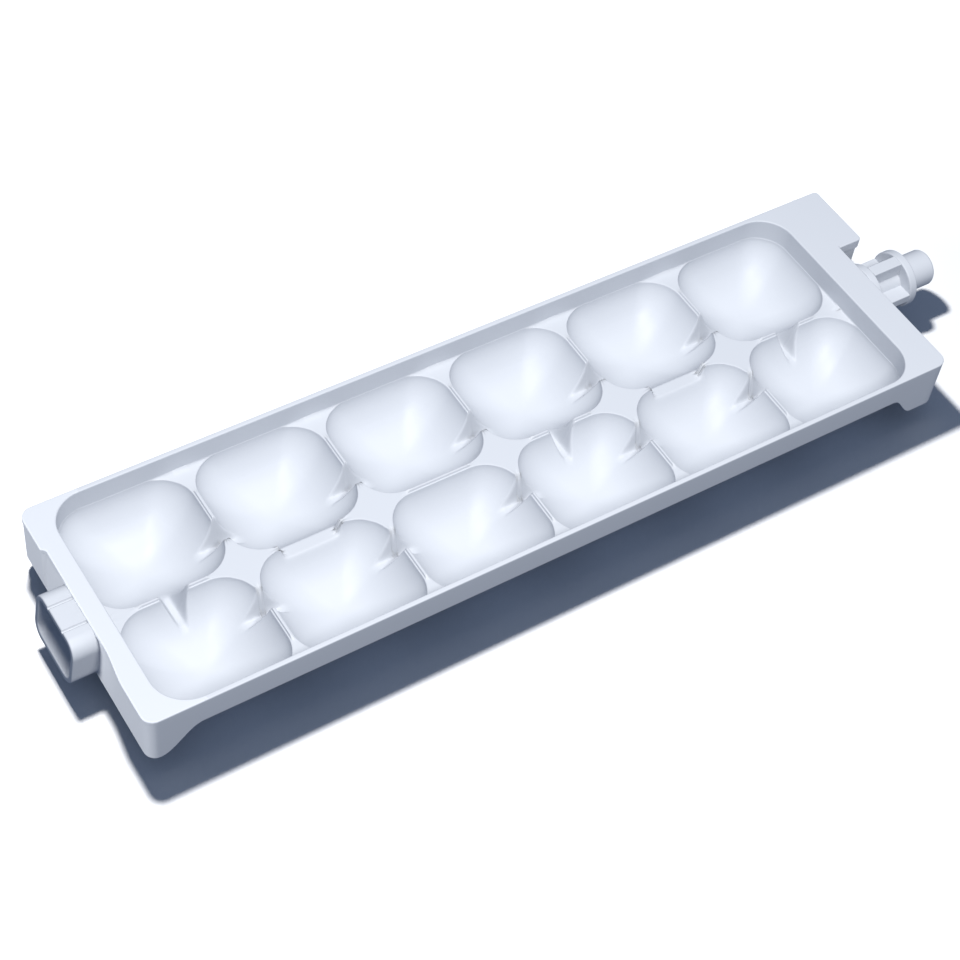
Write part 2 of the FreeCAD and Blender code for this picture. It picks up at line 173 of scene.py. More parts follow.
class Places:
    """The tray's places in millimetres, read from the frame and the settings."""

    def __init__(self, sizes):
        for name in sizes.__annotations__:
            setattr(self, name, getattr(sizes, name) / MM)
        self.bowl_swell = sizes.bowl_swell
        land_d = [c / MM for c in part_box("land_drive")]
        land_p = [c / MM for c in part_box("land_pivot")]
        leg = [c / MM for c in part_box("corner_drive_front")]
        rail = [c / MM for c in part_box("rim_front_2")]
        rear = [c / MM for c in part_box("rim_rear_2")]
        self.x_drive, self.x_pivot = land_d[0].x, land_p[1].x
        self.x_cap0, self.x_cap1 = land_d[1].x, land_p[0].x
        self.y_front, self.y_rear = rail[0].y, rear[1].y
        self.z_top, self.z_under = rail[1].z, rail[0].z
        self.z_leg, self.z_cap = leg[0].z, leg[1].z
        self.z_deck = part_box("land_drive")[0].z / MM
        self.y_spine = (self.y_front + self.y_rear) / 2
        self.x_in0, self.x_in1 = self.x_cap0 - self.mouth_radius, self.x_cap1 + self.mouth_radius
        self.cup_x = (self.pitch - self.divider) / 2
        self.cup_y = (self.y_rear - self.y_spine - self.rail_wall - self.divider / 2) / 2
        self.centres = [self.x_in0 + self.cup_x + k * self.pitch for k in range(BAYS)]
        self.notch_at = self.notch_from_front - self.rail_wall - self.cup_y

    def cup_centre_y(self, rear):
        if rear:
            return self.y_rear - self.rail_wall - self.cup_y
        return self.y_front + self.rail_wall + self.cup_y


# ---------------------------------------------------------------- helpers for shaping


def ease(v, low, high):
    """0 below low, 1 above high, smooth between."""
    t = np.clip((v - low) / (high - low), 0.0, 1.0)
    return t * t * (3 - 2 * t)


def soft_ramp(v, round_=0.2):
    """The greater of v and 0 with its corner rounded."""
    return (v + np.sqrt(v * v + round_ * round_)) / 2


def soft_min(a, b, k):
    """The lower of two heights, with the edge between them rounded off."""
    h = np.maximum(k - np.abs(a - b), 0.0) / k
    return np.minimum(a, b) - h * h * k / 4


def steps(*runs):
    """Line positions from runs of (end, spacing), starting at 0."""
    out = [0.0]
    for end, spacing in runs:
        n = max(1, round((end - out[-1]) / spacing))
        start = out[-1]
        out += [start + (end - start) * i / n for i in range(1, n + 1)]
    return np.array(out)


def lattice_normals(points, wrap_columns=False, wrap_rows=False):
    """Area-weighted normals of a grid of points, so flats stay flat beside small roundings."""
    p = points
    if wrap_columns:
        p = np.concatenate([p, p[:1]], axis=0)
    if wrap_rows:
        p = np.concatenate([p, p[:, :1]], axis=1)
    area = np.cross(p[1:, 1:] - p[:-1, :-1], p[:-1, 1:] - p[1:, :-1])
    total = np.zeros_like(p)
    for i in (0, 1):
        for j in (0, 1):
            total[i:i + area.shape[0], j:j + area.shape[1]] += area
    if wrap_columns:
        total[0] += total[-1]
        total = total[:-1]
    if wrap_rows:
        total[:, 0] += total[:, -1]
        total = total[:, :-1]
    return total / np.maximum(np.linalg.norm(total, axis=2, keepdims=True), 1e-12)


def object_from(bm, name, normals=None):
    mesh = bpy.data.meshes.new(name)
    bm.to_mesh(mesh)
    bm.free()
    mesh.shade_smooth()
    if normals is not None:
        mesh.normals_split_custom_set_from_vertices(normals.tolist())
    obj = bpy.data.objects.new(name, mesh)
    bpy.context.scene.collection.objects.link(obj)
    return obj


def lay_grid(bm, columns, rows, z=0.0):
    """A flat grid one unit wide, as a table of its vertices by column and row."""
    made = bmesh.ops.create_grid(bm, x_segments=columns - 1, y_segments=rows - 1, size=0.5,
                                 matrix=Matrix.Translation((0, 0, z)))["verts"]
    table = {}
    for v in made:
        table[round((v.co.x + 0.5) * (columns - 1)), round((v.co.y + 0.5) * (rows - 1))] = v
    if len(table) != columns * rows:
        raise RuntimeError("the grid has %d points, not %d" % (len(table), columns * rows))
    return table


def double_sheet(name, upper, lower, upper_normals, lower_normals):
    """A closed shell from an upper and a lower sheet with as many lines as each other."""
    columns, rows = upper.shape[:2]
    bm = bmesh.new()
    top = lay_grid(bm, columns, rows)
    border = [e for e in bm.edges if e.is_boundary]
    skirt = bmesh.ops.extrude_edge_only(bm, edges=border)["geom"]
    lower_edge = [g for g in skirt if isinstance(g, bmesh.types.BMVert)]
    bmesh.ops.translate(bm, vec=(0, 0, -1), verts=lower_edge)
    lay_grid(bm, columns, rows, -1.0)
    bmesh.ops.remove_doubles(bm, verts=bm.verts, dist=1e-5)
    bmesh.ops.recalc_face_normals(bm, faces=bm.faces)
    bm.verts.index_update()
    normals = np.zeros((len(bm.verts), 3))
    for v in bm.verts:
        i, j = round((v.co.x + 0.5) * (columns - 1)), round((v.co.y + 0.5) * (rows - 1))
        up = v.co.z > -0.5
        v.co = (upper if up else lower)[i, j] * MM
        normals[v.index] = (upper_normals if up else lower_normals)[i, j]
    return object_from(bm, name, normals)


def swept_tube(name, points, ring=False):
    """A closed section carried along a path: points by column and by place round the section."""
    columns, rows = points.shape[:2]
    normals = lattice_normals(points, wrap_columns=ring, wrap_rows=True)
    bm = bmesh.new()
    table = lay_grid(bm, columns + (1 if ring else 0), rows + 1)
    for (i, j), v in table.items():
        v.co = points[i % columns, j % rows] * MM
    target = {v: table[i % columns, j % rows] for (i, j), v in table.items()
              if i == columns or j == rows}
    bmesh.ops.weld_verts(bm, targetmap=target)
    if not ring:
        bmesh.ops.holes_fill(bm, edges=[e for e in bm.edges if e.is_boundary], sides=0)
    bmesh.ops.recalc_face_normals(bm, faces=bm.faces)
    bm.verts.index_update()
    listed = np.zeros((len(bm.verts), 3))
    for (i, j), v in table.items():
        if v.is_valid:
            listed[v.index] = normals[i, j]
    bm.normal_update()
    agree = sum(Vector(listed[v.index]).dot(v.normal) for v in bm.verts)
    return object_from(bm, name, listed if agree > 0 else -listed)


def smooth_flats(obj, angle=35):
    """Smooth shading that keeps flats flat and real corners sharp."""
    obj.data.set_sharp_from_angle(angle=math.radians(angle))
    weighted = obj.modifiers.new("Flat faces stay flat", "WEIGHTED_NORMAL")
    weighted.keep_sharp = True
    return obj


# ---------------------------------------------------------------- basin


class Cup:
    """One cup's share of the basin, seen from its centre: x along the tray, y towards the spine."""

    def __init__(self, p, k, rear, across, along):
        self.p, self.k = p, k
        a, b = np.meshgrid(across, along, indexing="ij")
        self.a, self.b = a, b
        self.m = np.maximum(np.maximum(np.abs(a), np.abs(b)), 1e-9)
        self.at_end = ((a < 0) & (k == 0)) | ((a > 0) & (k == BAYS - 1))
        self.at_rail = b < 0
        self.cx, self.cy, self.side = p.centres[k], p.cup_centre_y(rear), (-1 if rear else 1)

    def sheet(self, hx, hy, ex, ey, radius, tray_edge):
        """Points on the lines out to the mouth (hx, hy) and on to the cup's border (ex, ey)."""
        m = self.m
        ta, tb = np.abs(self.a) / m, np.abs(self.b) / m
        side = ta >= tb
        quarter = radius * math.pi / 4
        straight = np.where(side, hy - radius, hx - radius)
        u = np.where(side, tb, ta) * (straight + quarter)
        bend = np.clip(u - straight, 0.0, quarter)
        angle = bend / radius
        flat = np.minimum(u, straight)
        far = np.where(side, hx, hy) - radius + radius * np.cos(angle)
        near = flat + radius * np.sin(angle)
        reach = np.where(side, ey, ex)
        edge_far = np.where(side, ex, ey)
        edge_near = flat + bend / quarter * (reach - straight)
        round_corner = self.at_end & self.at_rail
        edge_far = np.where(round_corner, far + tray_edge * np.cos(angle), edge_far)
        edge_near = np.where(round_corner, near + tray_edge * np.sin(angle), edge_near)
        mouth = np.stack([np.where(side, far, near), np.where(side, near, far)], axis=-1)
        edge = np.stack([np.where(side, edge_far, edge_near),
                         np.where(side, edge_near, edge_far)], axis=-1)
        width = np.linalg.norm(edge - mouth, axis=-1)
        walled = np.where(side, self.at_end, self.at_rail)
        line = np.clip(np.rint((m - 1) * OUTER_LINES), 0, OUTER_LINES).astype(int)
        gap = self.line_distance(line, width, walled)
        s = np.sin(np.pi / 2 * np.minimum(m, 1.0))
        point = mouth * s[..., None]
        beyond = mouth + (edge - mouth) * (gap / np.maximum(width, 1e-9))[..., None]
        point = np.where((m > 1)[..., None], beyond, point)
        x, y = point[..., 0] * np.sign(self.a), point[..., 1] * np.sign(self.b)
        return x, y, s, gap, width

    @staticmethod
    def line_distance(line, width, walled):
        """How far from the mouth the outer lines lie, close together at the roundings."""
        free = np.array((0.0, 0.05, 0.15, 0.30, 0.38, 0.45, 0.52, 0.60, 0.80))[line]
        whole = free * width / 0.8
        wide = np.where(line <= 3, free, 0.3 + (free - 0.3) / 0.5 * (width - 0.3))
        between = np.where(width < 0.8, whole, wide)
        part = np.array((0.0, 0.12, 0.25, 0.40, 0.52, 0.66, 0.80, 0.92, 1.0))[line] * width
        back = np.array((0.0, 0.0, 0.0, 0.0, 0.60, 0.35, 0.15, 0.05, 0.0))[line]
        set_out = np.where(line <= 3, free, width - back)
        mix = np.clip((width - 0.3) / 1.2, 0.0, 1.0)
        beside_wall = part + (set_out - part) * mix
        return np.where(walled, beside_wall, between)

    def upper(self):
        p = self.p
        hx = np.where(self.at_end, p.cup_x - LEDGE, p.cup_x)
        hy = np.where(self.at_rail, p.cup_y - LEDGE, p.cup_y)
        half = p.divider / 2
        ex = np.where(self.at_end, p.cup_x + 0.02, p.cup_x + half)
        ey = np.where(self.at_rail, p.cup_y + 0.02, p.cup_y + half)
        x, y, s, gap, width = self.sheet(hx, hy, ex, ey, p.mouth_radius - LEDGE, LEDGE + 0.02)
        edge = np.minimum(p.mouth_edge, 0.45 * width)
        z = -edge - (p.bowl_depth - edge) * np.maximum(1 - s * s, 0.0) ** p.bowl_swell
        rounding = -edge + np.sqrt(np.maximum(edge ** 2 - np.maximum(edge - gap, 0.0) ** 2, 0.0))
        outside = self.m > 1
        z = np.where(outside, rounding, z)
        z = z + np.where(outside, self.cove_height(x, y), 0.0)
        z = z + self.lips(x, y)
        z = self.water_ways(x, y, z)
        return self.placed(x, y, z)

    def cove_height(self, x, y):
        p = self.p
        px = np.abs(x) - (p.cup_x - p.mouth_radius)
        py = np.abs(y) - (p.cup_y - p.mouth_radius)
        round_part = np.hypot(np.maximum(px, 0), np.maximum(py, 0))
        corner = p.mouth_radius - round_part - np.minimum(np.maximum(px, py), 0)
        away = np.where(self.at_end & self.at_rail, corner,
                        np.where(self.at_end, p.cup_x - np.abs(x),
                                 np.where(self.at_rail, p.cup_y - np.abs(y), 9.0)))
        near = p.cove - np.clip(away, 0.0, p.cove)
        return p.cove - np.sqrt(p.cove ** 2 - near ** 2)

    def lips(self, x, y):
        p = self.p
        half = p.divider / 2
        from_bay, from_spine = p.cup_x + half - np.abs(x), p.cup_y + half - y
        top = p.lip_half - LIP_SIDE
        bay = (1 - ease(from_bay, top, p.lip_half)) * ease(y, *BAY_LIP_START) * (1 - ease(y, *BAY_LIP_END))
        bay = np.where(self.at_end, 0.0, bay)
        spine = (1 - ease(from_spine, top, p.lip_half)) * (1 - ease(np.abs(x), *SPINE_LIP_END))
        if SPINE_KINDS[self.k] == "weir":
            spine = np.zeros_like(spine)
        return p.lip_high * np.maximum(bay, spine)

    def water_ways(self, x, y, z):
        p = self.p
        half = p.divider / 2
        from_bay, from_spine = p.cup_x + half - np.abs(x), p.cup_y + half - y
        ridge = SEAM_RISE * np.exp(-(from_bay / SEAM_WIDTH) ** 2)
        steep = p.notch_deep / (p.notch_half - p.notch_floor)
        notch = -p.notch_deep + soft_ramp(np.abs(y - p.notch_at) + ridge - p.notch_floor) * steep
        z = np.where(self.at_end, z, soft_min(z, notch, NOTCH_SOFT))
        kind = SPINE_KINDS[self.k]
        if kind == "notch":
            ridge = SEAM_RISE * np.exp(-(from_spine / SEAM_WIDTH) ** 2)
            steep = p.notch_deep / (p.spine_half - p.spine_floor)
            notch = -p.notch_deep + soft_ramp(np.abs(x) + ridge - p.spine_floor) * steep
            z = np.where(self.at_rail, z, soft_min(z, notch, NOTCH_SOFT))
        elif kind == "weir":
            low = -p.weir_deep + soft_ramp(np.abs(x) - p.weir_half, WEIR_END) * WEIR_SLOPE
            z = np.where(self.at_rail, z, soft_min(z, low, WEIR_SOFT))
        return z

    def lower(self):
        p = self.p
        under = p.wall + 0.1
        hx = np.where(self.at_end, p.cup_x + p.wall, p.cup_x + 0.6)
        hy = np.where(self.at_rail, p.cup_y + p.wall, p.cup_y + 0.6)
        half = p.divider / 2
        ex = np.where(self.at_end, p.cup_x + p.wall + 0.05, p.cup_x + half)
        ey = np.where(self.at_rail, p.cup_y + p.wall + 0.05, p.cup_y + half)
        x, y, _, _, _ = self.sheet(hx, hy, ex, ey, p.mouth_radius + 0.9, 0.05)
        g = rounded_gauge(np.abs(x), np.abs(y), p.cup_x + p.wall, p.cup_y + p.wall, p.mouth_radius + p.wall)
        bowl = -(p.bowl_depth + p.wall) * (1 - np.minimum(g, 1.0) ** 2) ** p.bowl_swell
        z = soft_min(np.full_like(x, -under), bowl, 0.8)
        deep = p.notch_deep + WATER_WALL
        z = np.where(self.at_end, z, self.trough(z, y - p.notch_at, p.notch_half, p.notch_floor, deep))
        if SPINE_KINDS[self.k] == "notch":
            z = np.where(self.at_rail, z, self.trough(z, x, p.spine_half, p.spine_floor, deep))
        elif SPINE_KINDS[self.k] == "weir":
            past = np.abs(x) - p.weir_half - WATER_WALL
            low = -p.weir_deep - WATER_WALL + soft_ramp(past, WEIR_END) * WEIR_SLOPE
            z = np.where(self.at_rail, z, soft_min(z, low, UNDER_SOFT))
        past_end = np.where(self.at_end, np.abs(x) - p.cup_x, 0)
        past_rail = np.where(self.at_rail, -y - p.cup_y, 0)
        z = z + 0.06 * ease(np.maximum(past_end, past_rail), 0.1, 0.5)
        return self.placed(x, y, z)

    @staticmethod
    def trough(z, off, half, floor, deep):
        """The underside z lowered under a V notch, off being the distance from its middle."""
        top, floor = half + WATER_WALL, floor + WATER_WALL * 0.8
        return soft_min(z, -deep + soft_ramp(np.abs(off) - floor) * deep / (top - floor), UNDER_SOFT)

    def placed(self, x, y, z):
        return np.stack([self.cx + x, self.cy + self.side * y, self.p.z_deck + z], axis=-1)


def rounded_gauge(x, y, hx, hy, r):
    """How large a rounded rectangle of these half sizes is when its edge passes through (x, y)."""
    px, py = hx - r, hy - r
    size = np.maximum(x / hx, y / hy)
    dot, length2 = x * px + y * py, np.maximum(x * x + y * y, 1e-12)
    root = np.sqrt(np.maximum(dot * dot - length2 * (px * px + py * py - r * r), 0.0))
    corner = length2 / np.maximum(dot + root, 1e-12)
    in_corner = (x > px * corner) & (y > py * corner)
    return np.where(in_corner, corner, size)


def line_lists(p):
    """Lines across a cup and along it, close together where the water ways cut through."""
    quarter = p.mouth_radius * math.pi / 4
    flat_x, flat_y = p.cup_x - p.mouth_radius, p.cup_y - p.mouth_radius
    reach_x, reach_y = flat_x + quarter, flat_y + quarter
    across = steps((4.5, 0.3), (7.8, 0.55), (flat_x + 1.0, 0.2), (reach_x, 0.45)) / reach_x
    spine = steps((1.4, 0.47), (9.2, 0.26), (reach_y, 0.5)) / reach_y
    rail = steps((8.0, 0.8), (9.2, 0.3), (reach_y, 0.6)) / reach_y
    outer = 1 + np.arange(1, OUTER_LINES + 1) / OUTER_LINES
    a = np.concatenate([-outer[::-1], -across[:0:-1], across, outer])
    b = np.concatenate([-outer[::-1], -rail[:0:-1], spine, outer])
    return a, b


def basin_sheets(p):
    """The whole basin's upper and lower points, and the column of each cup's centre."""
    a, b = line_lists(p)
    centre = len(a) // 2
    uppers, lowers, middles = [], [], []
    at = 0
    for k in range(BAYS):
        across = a if k == 0 else a[1:]
        middles.append(at + (centre if k == 0 else centre - 1))
        at += len(across)
        front, rear = Cup(p, k, False, across, b), Cup(p, k, True, across, b[-2::-1])
        uppers.append(np.concatenate([front.upper(), rear.upper()], axis=1))
        lowers.append(np.concatenate([front.lower(), rear.lower()], axis=1))
    return np.concatenate(uppers), np.concatenate(lowers), middles


def build_basin(p):
    upper, lower, middles = basin_sheets(p)
    up, down = lattice_normals(upper), -lattice_normals(lower)
    up *= np.sign(up[..., 2:].mean())
    down *= -np.sign(down[..., 2:].mean())
    cuts = [0] + middles[1:-1] + [upper.shape[0] - 1]
    spans = []
    for k in range(BAYS - 1):
        part = slice(cuts[k], cuts[k + 1] + 1)
        name = "basin_%d_%d" % (k + 1, k + 2)
        spans.append(double_sheet(name, upper[part], lower[part], up[part], down[part]))
    return spans


# ---------------------------------------------------------------- rim


def rim_section(p, inner, outer, foot, in_normal, out_normal, z_bottom, edge_in, edge_out, undercut):
    """The closed section of the rim at each column, from the cavity's wall over the top and back."""
    n = len(inner)
    z_bottom = np.broadcast_to(z_bottom, n)
    width = np.linalg.norm(outer - inner, axis=1)
    across = (outer - inner) / width[:, None]
    wall = np.minimum(p.rail_wall, 0.4 * width)[:, None]
    hollow = ease(width, 3.2, 4.6)
    rows = []

    def add(xy, z):
        rows.append(np.concatenate([xy, np.broadcast_to(z, n)[:, None]], axis=1))

    add(inner, p.z_under)
    add(inner, p.z_deck + 0.3)
    add(inner, p.z_top - edge_in)
    for t in (22.5, 45, 67.5, 90):
        c, s = math.cos(math.radians(t)), math.sin(math.radians(t))
        add(inner + in_normal * (edge_in * (1 - c))[:, None], p.z_top - edge_in * (1 - s))
    for t in (90, 67.5, 45, 22.5, 0):
        c, s = math.cos(math.radians(t)), math.sin(math.radians(t))
        add(outer - out_normal * (edge_out * (1 - c))[:, None], p.z_top - edge_out * (1 - s))
    add(outer, p.z_cap + 0.12)
    add(outer - out_normal * (undercut * 0.5)[:, None], p.z_cap + 0.04)
    add(outer - out_normal * undercut[:, None], p.z_cap - 0.06)
    low = np.where(z_bottom < p.z_under - 0.01, z_bottom, p.z_under)
    t = np.clip((p.z_cap - low - 0.3) / (p.z_cap - p.z_leg), 0, 1)[:, None]
    slope = outer - out_normal * undercut[:, None] + (foot - outer) * t
    add(slope, low + 0.3)
    add(slope - out_normal * 0.09, low + 0.09)
    add(slope - out_normal * 0.3, low)
    add(slope - out_normal * (wall - 0.05), low)
    add(outer - across * wall, low + (p.z_cap - low) * hollow)
    add(inner + across * wall, p.z_under + (p.z_cap - p.z_under) * hollow)
    add(inner + across * wall, p.z_under)
    return np.stack(rows, axis=1)


def build_rails(p):
    """The long side walls, one piece for each span between two pairs of cups."""
    made = []
    for rear in (False, True):
        sign = 1 if rear else -1
        y_out = p.y_rear if rear else p.y_front
        for k in range(BAYS - 1):
            x0 = p.x_cap0 if k == 0 else p.centres[k]
            x1 = p.x_cap1 if k == BAYS - 2 else p.centres[k + 1]
            x = np.linspace(x0, x1, 25)
            inner = np.stack([x, np.full_like(x, y_out - sign * p.rail_wall)], axis=1)
            outer = np.stack([x, np.full_like(x, y_out)], axis=1)
            normal = np.broadcast_to((0.0, float(sign)), outer.shape)
            edge = np.full(len(x), p.rim_edge)
            section = rim_section(p, inner, outer, outer, normal, normal, p.z_under, edge, edge, edge * 0)
            name = "rail_%s_%d_%d" % ("rear" if rear else "front", k + 1, k + 2)
            made.append((swept_tube(name, section), k, rear))
    return made


def end_columns(p, drive):
    """Inner and outer points round one end, front to rear, with their outward normals."""
    r = p.mouth_radius
    y0, y1 = p.y_front + p.rail_wall + r, p.y_rear - p.rail_wall - r
    x_end, x_cap, x_wall = p.x_drive, p.x_cap0, p.x_in0
    flip = 1.0
    if not drive:
        x_end, x_cap, x_wall, flip = -p.x_pivot, -p.x_cap1, -p.x_in1, -1.0

    def quarter(rear):
        turn = SQUARE_CORNER if rear and not drive else OUTER_CORNER
        sign = 1 if rear else -1
        y_edge = p.y_rear if rear else p.y_front
        y_arc = y1 if rear else y0
        points = []

        def round_corner(t):
            nx, ny = -math.sin(t), sign * math.cos(t)
            return (x_end + turn + turn * nx, y_edge - sign * turn + turn * ny), (nx, ny)

        along_rail, along_end = x_cap - x_end - turn, abs(y_arc - y_edge) - turn
        half_arc = turn * math.pi / 4
        for i in range(33):
            phi = math.pi / 2 * i / 32
            pin = (x_cap - r * math.sin(phi), y_arc + sign * r * math.cos(phi))
            nin = (-math.sin(phi), sign * math.cos(phi))
            if i <= 16:
                u = i / 16 * (along_rail + half_arc)
                if u <= along_rail:
                    pout, nout = (x_cap - u, y_edge), (0.0, sign)
                else:
                    pout, nout = round_corner((u - along_rail) / turn)
            else:
                u = (i - 16) / 16 * (along_end + half_arc)
                if u <= half_arc:
                    pout, nout = round_corner(math.pi / 4 + u / turn)
                else:
                    pout, nout = (x_end, y_edge - sign * (turn + u - half_arc)), (-1.0, 0.0)
            points.append((pin, pout, nin, nout))
        return points

    rows = quarter(False)
    recess_end = np.linspace(p.y_front + RECESS_END[0] - 0.4, p.y_front + RECESS_END[1] + 0.5, 13)
    ys = np.unique(np.concatenate([np.linspace(y0, y1, 60), recess_end]))
    rows += [((x_wall, y), (x_end, y), (-1.0, 0.0), (-1.0, 0.0)) for y in ys[1:-1]]
    rows += quarter(True)[::-1]
    return tuple(np.array([row[i] for row in rows], float) * (flip, 1.0) for i in range(4))


def build_end(p, drive):
    """One end of the rim: the flat land, the deep end wall under it and its two corner legs."""
    inner, outer, n_in, n_out = end_columns(p, drive)
    foot = outer.copy()
    end_facing = np.abs(n_out[:, 0])
    if drive:
        from_front = outer[:, 1] - p.y_front
        back = ease(from_front, *RECESS_START) * (1 - ease(from_front, *RECESS_END))
        outer[:, 0] += p.recess * back * (end_facing > 0.99)
        past_leg, undercut = (outer[:, 0] - p.x_drive - DRIVE_LEG[0]) / DRIVE_LEG[1], UNDERCUT
    else:
        past_leg, undercut = (p.x_pivot - PIVOT_LEG[0] - outer[:, 0]) / PIVOT_LEG[1], 0.0
    z_bottom = p.z_leg + (p.z_under - p.z_leg) * ease(past_leg, 0.0, 1.0)
    edge_in = np.full(len(outer), p.rim_edge)
    edge_out = edge_in
    if not drive:
        beside_lug = (outer[:, 1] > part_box("stop_lug")[0].y / MM) & (outer[:, 0] > p.x_pivot - 0.05)
        edge_out = np.where(beside_lug, LUG_EDGE, edge_in)
    undercut = undercut * end_facing ** 4 * ease(np.abs(outer[:, 1] - p.y_spine), 0.0, 1.0)
    section = rim_section(p, inner, outer, foot, n_in, n_out, z_bottom, edge_in, edge_out, undercut)
    return swept_tube("end_drive" if drive else "end_pivot", section)


# ---------------------------------------------------------------- drive socket


def build_socket(p):
    """The open rounded tube that the drive shaft enters, with two grooves along its top."""
    low, high = (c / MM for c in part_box("drive_socket"))
    half_y, half_z, r = (high.y - low.y) / 2, (high.z - low.z) / 2, SOCKET_CORNER
    lean = -low.x
    back = p.x_drive + 1.4
    outline = []
    flat_y, flat_z = half_y - r, half_z - r
    top = [-flat_y]
    for side in (-GROOVE_AT, GROOVE_AT):
        top += [side + off for off in (-GROOVE_SHOULDER, -GROOVE_TOP, -GROOVE_FOOT, 0.0,
                                       GROOVE_FOOT, GROOVE_TOP, GROOVE_SHOULDER)]
    top.append(flat_y)
    for y in top:
        cut = p.groove * (abs(abs(y) - GROOVE_AT) < GROOVE_FOOT + 0.01)
        outline.append((y, half_z, 0.0, 1.0, cut))

    def arc(cy, cz, start):
        for i in range(1, 12):
            t = math.radians(start - 90 * i / 12)
            outline.append((cy + r * math.cos(t), cz + r * math.sin(t), math.cos(t), math.sin(t), 0.0))

    arc(flat_y, flat_z, 90)
    for z in np.linspace(flat_z, -flat_z, 6):
        outline.append((half_y, z, 1.0, 0.0, 0.0))
    arc(flat_y, -flat_z, 0)
    for y in np.linspace(flat_y, -flat_y, 9):
        outline.append((y, -half_z, 0.0, -1.0, 0.0))
    arc(-flat_y, -flat_z, -90)
    for z in np.linspace(-flat_z, flat_z, 6):
        outline.append((-half_y, z, -1.0, 0.0, 0.0))
    arc(-flat_y, flat_z, -180)
    wall, edge = p.socket_wall, SOCKET_EDGE
    turns = [math.pi / 8 * i for i in range(5)]
    profile = [(0.0, None)]
    profile += [(edge * (1 - math.cos(t)), edge * (1 - math.sin(t))) for t in turns]
    profile += [(wall - edge * (1 - math.sin(t)), edge * (1 - math.cos(t))) for t in turns]
    profile += [(wall, None)]
    points = np.zeros((len(outline), len(profile), 3))
    for i, (y, z, ny, nz, cut) in enumerate(outline):
        for j, (depth, step) in enumerate(profile):
            d = max(depth, cut) if j < len(profile) // 2 + 3 else depth
            py, pz = y - ny * d, z - nz * d
            x = back if step is None else lean * pz / half_z + step
            points[i, j] = (x, py, pz)
    return swept_tube("drive_socket_tube", points, ring=True)


# ---------------------------------------------------------------- pivot


def turned(bm, profile, steps_round=72):
    """A solid of revolution about the X axis from (x, radius) pairs that start and end on it."""
    verts = [bm.verts.new((x * MM, 0.0, max(r, 0.0) * MM)) for x, r in profile]
    edges = [bm.edges.new(pair) for pair in zip(verts, verts[1:])]
    bmesh.ops.spin(bm, geom=verts + edges, cent=(0, 0, 0), axis=(1, 0, 0), angle=2 * math.pi,
                   steps=steps_round, use_merge=True)
    bmesh.ops.remove_doubles(bm, verts=bm.verts, dist=1e-6)
    bmesh.ops.recalc_face_normals(bm, faces=bm.faces)


def eased_corner(x, r, edge, into_x):
    """Points that round the corner between a flat end at x and a cylinder of radius r."""
    out = []
    for t in (0.0, math.pi / 6, math.pi / 3, math.pi / 2):
        out.append((x + into_x * edge * (1 - math.sin(t)), r - edge * (1 - math.cos(t))))
    return out if into_x < 0 else out[::-1]


def build_disc(name, node, edge):
    low, high = (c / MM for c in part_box(node))
    r = (high.z - low.z) / 2
    rim = eased_corner(low.x, r, edge, 1) + eased_corner(high.x, r, edge, -1)
    bm = bmesh.new()
    turned(bm, [(low.x, 0.0)] + rim + [(high.x, 0.0)])
    return smooth_flats(object_from(bm, name))


def build_pin():
    """The pivot pin: a plain journal with a rounded tip."""
    low, high = (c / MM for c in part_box("pivot_pin"))
    r = (high.z - low.z) / 2
    tip = [(high.x - back, r - inward) for back, inward in PIN_TIP]
    bm = bmesh.new()
    turned(bm, [(low.x, 0.0), (low.x, r)] + tip + [(high.x, 0.0)])
    return smooth_flats(object_from(bm, "pivot_journal"))


def round_edges(bm, edges, radius, segments):
    bmesh.ops.bevel(bm, geom=edges, offset=radius * MM, segments=segments, profile=0.5, affect="EDGES",
                    material=-1)


def build_hub():
    """The ribbed shaft between the two discs: a core with four fins."""
    low, high = (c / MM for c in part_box("pivot_hub"))
    bm = bmesh.new()
    turned(bm, [(low.x, 0.0), (low.x, HUB_CORE), (high.x, HUB_CORE), (high.x, 0.0)], 48)
    for half_y, half_z in ((FIN_HALF[0], high.z), (high.y, FIN_HALF[1])):
        size = Matrix.Diagonal(((high.x - low.x) * MM, 2 * half_y * MM, 2 * half_z * MM, 1.0))
        place = Matrix.Translation(((low.x + high.x) / 2 * MM, 0, 0))
        fin = bmesh.ops.create_cube(bm, size=1.0, matrix=place @ size)["verts"]
        long_edges = [e for e in {e for v in fin for e in v.link_edges}
                      if abs(e.verts[0].co.x - e.verts[1].co.x) > 1e-4]
        round_edges(bm, long_edges, FIN_EDGE, 3)
    return smooth_flats(object_from(bm, "pivot_hub_ribbed"))


# ---------------------------------------------------------------- stop lug


